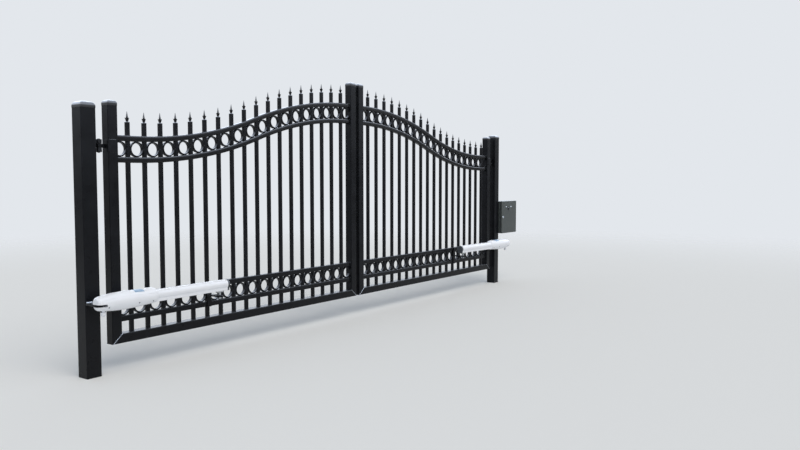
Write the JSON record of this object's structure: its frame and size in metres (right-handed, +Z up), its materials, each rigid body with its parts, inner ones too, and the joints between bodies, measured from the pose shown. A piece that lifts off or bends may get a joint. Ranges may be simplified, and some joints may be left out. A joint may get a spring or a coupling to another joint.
{
  "type": "wrought iron double driveway gate with swing arm openers",
  "caption": "Black wrought iron double driveway gate on two steel posts, with arched ringed rails, spear finials, a swing arm on each leaf and a control box.",
  "frame": {"origin": "centre of the left post's foot, at ground level", "axes": "+X along the closed gate from the left post to the right post, +Y away from the side that the leaves open to and the arms are on, +Z up"},
  "size_m": [5.8292, 0.3133, 2.117],
  "materials": {
    "black_paint": "satin black gate enamel with a soft sky sheen",
    "white_paint": "smooth white powder coat",
    "zinc": "galvanised, dull with a faint spangle",
    "box_enamel": "grey-green enamel",
    "cap_plastic": "dark moulded plastic",
    "lock_plastic": "black moulded knob"
  },
  "bodies": {
    "root": {"left_post": "black_paint", "right_post": "black_paint", "post_caps": "black_paint", "left_post_hinges": "black_paint", "right_post_hinges": "black_paint", "left_arm_bracket": "black_paint", "right_arm_bracket": "black_paint", "control_box": "box_enamel", "control_box_rails": "zinc"},
    "left_leaf": {"left_hinge_stile": "black_paint", "left_meeting_stile": "black_paint", "left_stile_caps": "black_paint", "left_bottom_rail": "black_paint", "left_band_rails": "black_paint", "left_second_rail": "black_paint", "left_top_rail": "black_paint", "left_pickets": "black_paint", "left_finials": "black_paint", "left_rings": "black_paint", "left_leaf_hinges": "black_paint", "left_gate_bracket": "black_paint"},
    "right_leaf": {"right_hinge_stile": "black_paint", "right_meeting_stile": "black_paint", "right_stile_caps": "black_paint", "right_bottom_rail": "black_paint", "right_band_rails": "black_paint", "right_second_rail": "black_paint", "right_top_rail": "black_paint", "right_pickets": "black_paint", "right_finials": "black_paint", "right_rings": "black_paint", "right_leaf_hinges": "black_paint", "right_gate_bracket": "black_paint"},
    "left_arm": {"left_arm_housing": "white_paint", "left_arm_tube": "white_paint", "left_arm_cap": "cap_plastic"},
    "right_arm": {"right_arm_housing": "white_paint", "right_arm_tube": "white_paint", "right_arm_cap": "cap_plastic"},
    "left_carriage": {"left_arm_carriage": "zinc"},
    "right_carriage": {"right_arm_carriage": "zinc"},
    "box_door": {"control_box_door": "box_enamel", "control_box_lock": "lock_plastic"}
  },
  "joints": [
    {"name": "left_leaf_swing", "type": "hinge", "parent": "root", "child": "left_leaf", "pos_m": [0.0968, 0, 0.9465], "axis": [0, 0, -1], "range_deg": [0, 90]},
    {"name": "left_arm_swing", "type": "hinge", "parent": "root", "child": "left_arm", "pos_m": [-0.038, -0.168, 0.484], "axis": [0, 0, -1], "range_deg": [0, 92.03]},
    {"name": "left_carriage_travel", "type": "slide", "parent": "left_arm", "child": "left_carriage", "axis": [-0.9995, -0.0307, 0], "range_m": [0, 0.3033]},
    {"name": "right_leaf_swing", "type": "hinge", "parent": "root", "child": "right_leaf", "pos_m": [5.2226, 0, 0.9465], "axis": [0, 0, 1], "range_deg": [0, 90]},
    {"name": "right_arm_swing", "type": "hinge", "parent": "root", "child": "right_arm", "pos_m": [5.3574, -0.168, 0.484], "axis": [0, 0, 1], "range_deg": [0, 92.03]},
    {"name": "right_carriage_travel", "type": "slide", "parent": "right_arm", "child": "right_carriage", "axis": [0.9995, -0.0307, 0], "range_m": [0, 0.3033]},
    {"name": "control_box_door_swing", "type": "hinge", "parent": "root", "child": "box_door", "pos_m": [5.7612, -0.0697, 0.79], "axis": [0, 0, 1], "range_deg": [0, 110]}
  ],
  "couplings": [
    {"joint": "left_arm_swing", "follows": "left_leaf_swing", "ratio": 1.0226},
    {"joint": "left_carriage_travel", "follows": "left_leaf_swing", "m_per_rad": 0.1931},
    {"joint": "right_arm_swing", "follows": "right_leaf_swing", "ratio": 1.0226},
    {"joint": "right_carriage_travel", "follows": "right_leaf_swing", "m_per_rad": 0.1931}
  ]
}
